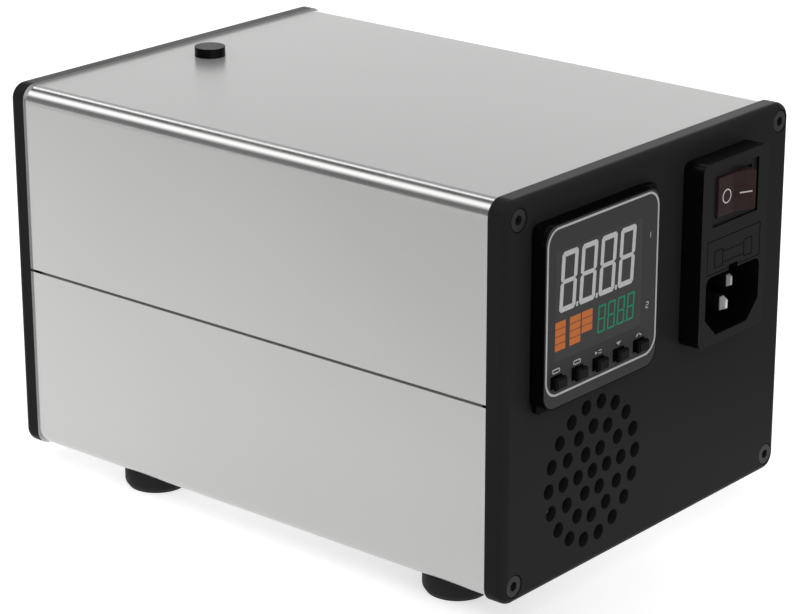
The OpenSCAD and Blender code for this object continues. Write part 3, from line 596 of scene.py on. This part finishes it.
# and the painted pool of light ends a little way in front of the panel
edge = node(nt, "ShaderNodeVectorMath", operation="DOT_PRODUCT")
nt.links.new(v, edge.inputs[0])
edge.inputs[1].default_value = (0.55, -0.835, 0.0)
painted_light_strength = node(nt, "ShaderNodeMath", operation="MULTIPLY")
nt.links.new(painted_light_falloff.outputs["Value"], painted_light_strength.inputs[0])
nt.links.new(map_range(nt, edge.outputs["Value"], 1.0, 0.0, 0.137, 0.20), painted_light_strength.inputs[1])
nt.links.new(tone, b.inputs["Emission Color"])
nt.links.new(painted_light_strength.outputs["Value"], b.inputs["Emission Strength"])
b.inputs["Roughness"].default_value = 0.9
b.inputs["Specular IOR Level"].default_value = 0.05
me.materials.append(fm)

sc = bpy.context.scene
sc.view_settings.view_transform = "Standard"
sc.view_settings.look = "None"

# a studio of long strip lights that run along Y: radiance by the angle around that axis, from +X over the top to -X
world = bpy.data.worlds.new("studio")
sc.world = world
world.use_nodes = True
wt = world.node_tree
bg = next(n for n in wt.nodes if n.type == "BACKGROUND")
tc = node(wt, "ShaderNodeTexCoord")
sep = node(wt, "ShaderNodeSeparateXYZ")
wt.links.new(tc.outputs["Generated"], sep.inputs["Vector"])
ang = node(wt, "ShaderNodeMath", operation="ARCTAN2")
wt.links.new(sep.outputs["Z"], ang.inputs[0])
wt.links.new(sep.outputs["X"], ang.inputs[1])
turn = node(wt, "ShaderNodeMath", operation="DIVIDE")
wt.links.new(ang.outputs["Value"], turn.inputs[0])
turn.inputs[1].default_value = math.pi
PEAK = 3.2
STRIPS = [(0, 2.1), (12, 2.0), (16, 1.65), (19.5, 0.80), (22, 0.62), (34, 0.58), (44, 0.50), (57, 0.50), (61, 3.0),
          (67, 3.0), (71, 0.10), (92, 0.05), (101, 0.9), (109, 2.05), (126, 2.05), (138, 0.8), (145, 0.20), (153, 0.20), (161, 0.24),
          (179.9, 0.26)]
strips = ramp(wt, turn.outputs["Value"], [(a / 180.0, g(v / PEAK)) for a, v in STRIPS])
ROOM = [(0, 0.55), (20, 0.62), (60, 0.66), (75, 0.8), (120, 0.8), (150, 0.7), (179.9, 0.6)]
room = ramp(wt, turn.outputs["Value"], [(a / 180.0, g(v / PEAK)) for a, v in ROOM])
front = map_range(wt, sep.outputs["Y"], 0.0, 1.0, -0.25, 0.10)
blend = node(wt, "ShaderNodeMix", data_type="RGBA")
wt.links.new(front, blend.inputs["Factor"])
wt.links.new(room, blend.inputs[6])
wt.links.new(strips, blend.inputs[7])
left = map_range(wt, sep.outputs["Y"], 1.0, 1.18, 0.62, 0.72)
lit = node(wt, "ShaderNodeVectorMath", operation="SCALE")
wt.links.new(blend.outputs[2], lit.inputs[0])
wt.links.new(left, lit.inputs["Scale"])
wt.links.new(lit.outputs["Vector"], bg.inputs["Color"])
bg.inputs["Strength"].default_value = PEAK


def area(name, loc, target, size, size_y, power, color=(1, 1, 1)):
    d = bpy.data.lights.new(name, "AREA")
    d.shape = "RECTANGLE"
    d.size, d.size_y = size, size_y
    d.energy = power
    d.color = color
    o = bpy.data.objects.new(name, d)
    o.location = loc
    o.rotation_euler = (Vector(target) - Vector(loc)).to_track_quat("-Z", "Y").to_euler()
    sc.collection.objects.link(o)
    return o


area("top_softbox", (-0.1, 0.1, 1.6), (0, 0, 0.0), 0.7, 0.7, 2.5)
area("front_softbox", (-0.25, -1.45, 0.75), (0, -0.1, 0.05), 2.2, 1.4, 8.5)

# ---------------------------------------------------------------- camera
cam_d = bpy.data.cameras.new("camera")
cam_d.sensor_width = 36.0
cam_d.sensor_fit = "HORIZONTAL"
cam_d.lens = 2846.58 / 800.0 * 36.0
cam_d.clip_start = 0.01
cam_d.clip_end = 50.0
cam = bpy.data.objects.new("camera", cam_d)
sc.collection.objects.link(cam)
right = Vector((0.64532, -0.76391, -0.00081))
down = Vector((-0.25571, -0.21502, -0.94254))
fwd = Vector((0.71984, 0.60845, -0.33410))
m = Matrix((right, -down, -fwd)).transposed().to_4x4()
m.translation = P(-575.3, -400.2, 311.8)
cam.matrix_world = m
sc.camera = cam
